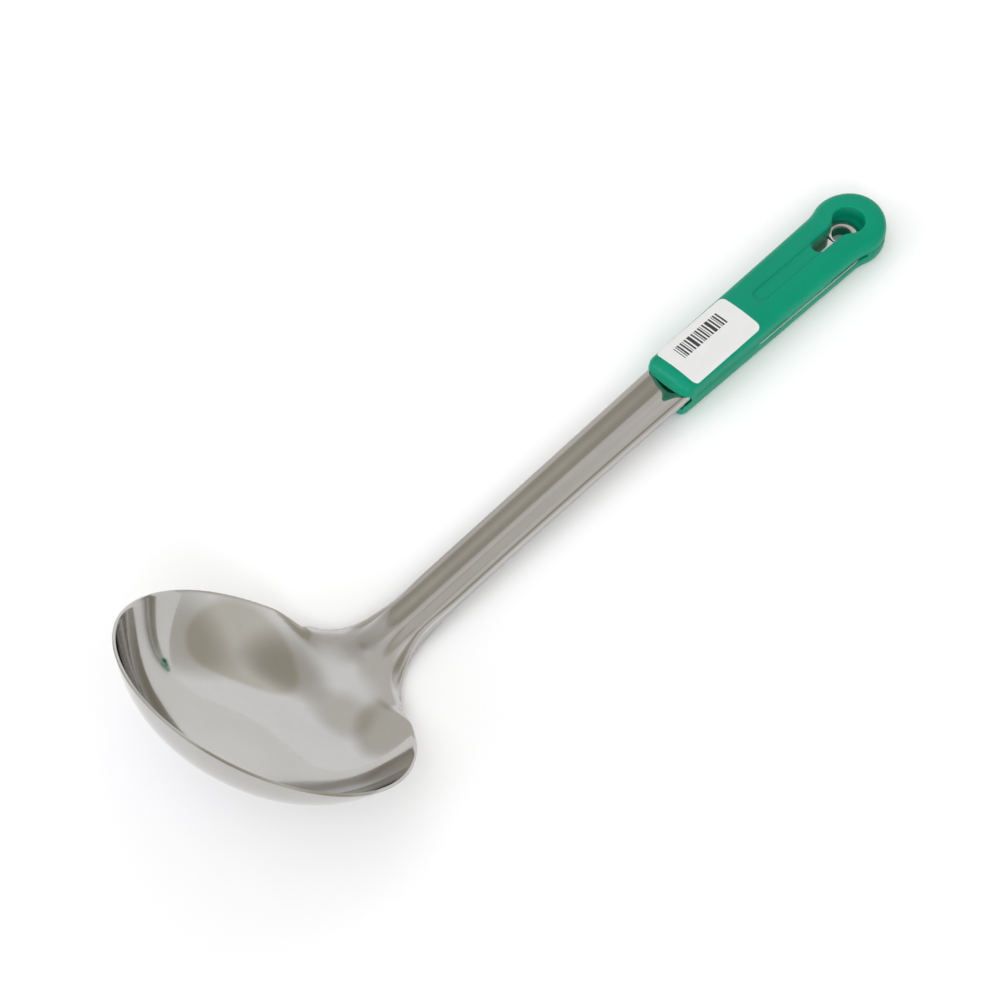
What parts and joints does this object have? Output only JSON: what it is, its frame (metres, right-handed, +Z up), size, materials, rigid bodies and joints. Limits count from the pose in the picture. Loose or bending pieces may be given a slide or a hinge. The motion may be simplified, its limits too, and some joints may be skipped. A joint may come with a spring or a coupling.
{
  "type": "soup ladle",
  "caption": "Soup ladle with a round pressed steel bowl, a troughed steel stem and a split plastic grip with a keyhole and a steel eye for hanging.",
  "frame": {"origin": "centre of the ladle's length and width, on the surface that it lies on", "axes": "+X along the stem from the bowl to the grip, +Y across it, +Z up from the surface that it lies on"},
  "size_m": [0.3924, 0.12, 0.0782],
  "materials": {
    "steel": "polished stainless steel",
    "grip_plastic": "satin moulded plastic, green",
    "label_paper": "smooth white paper"
  },
  "bodies": {
    "root": {"blade": "steel", "hanging_plate": "steel", "grip_upper": "grip_plastic", "grip_lower": "grip_plastic", "paper_label": "label_paper"}
  },
  "joints": []
}
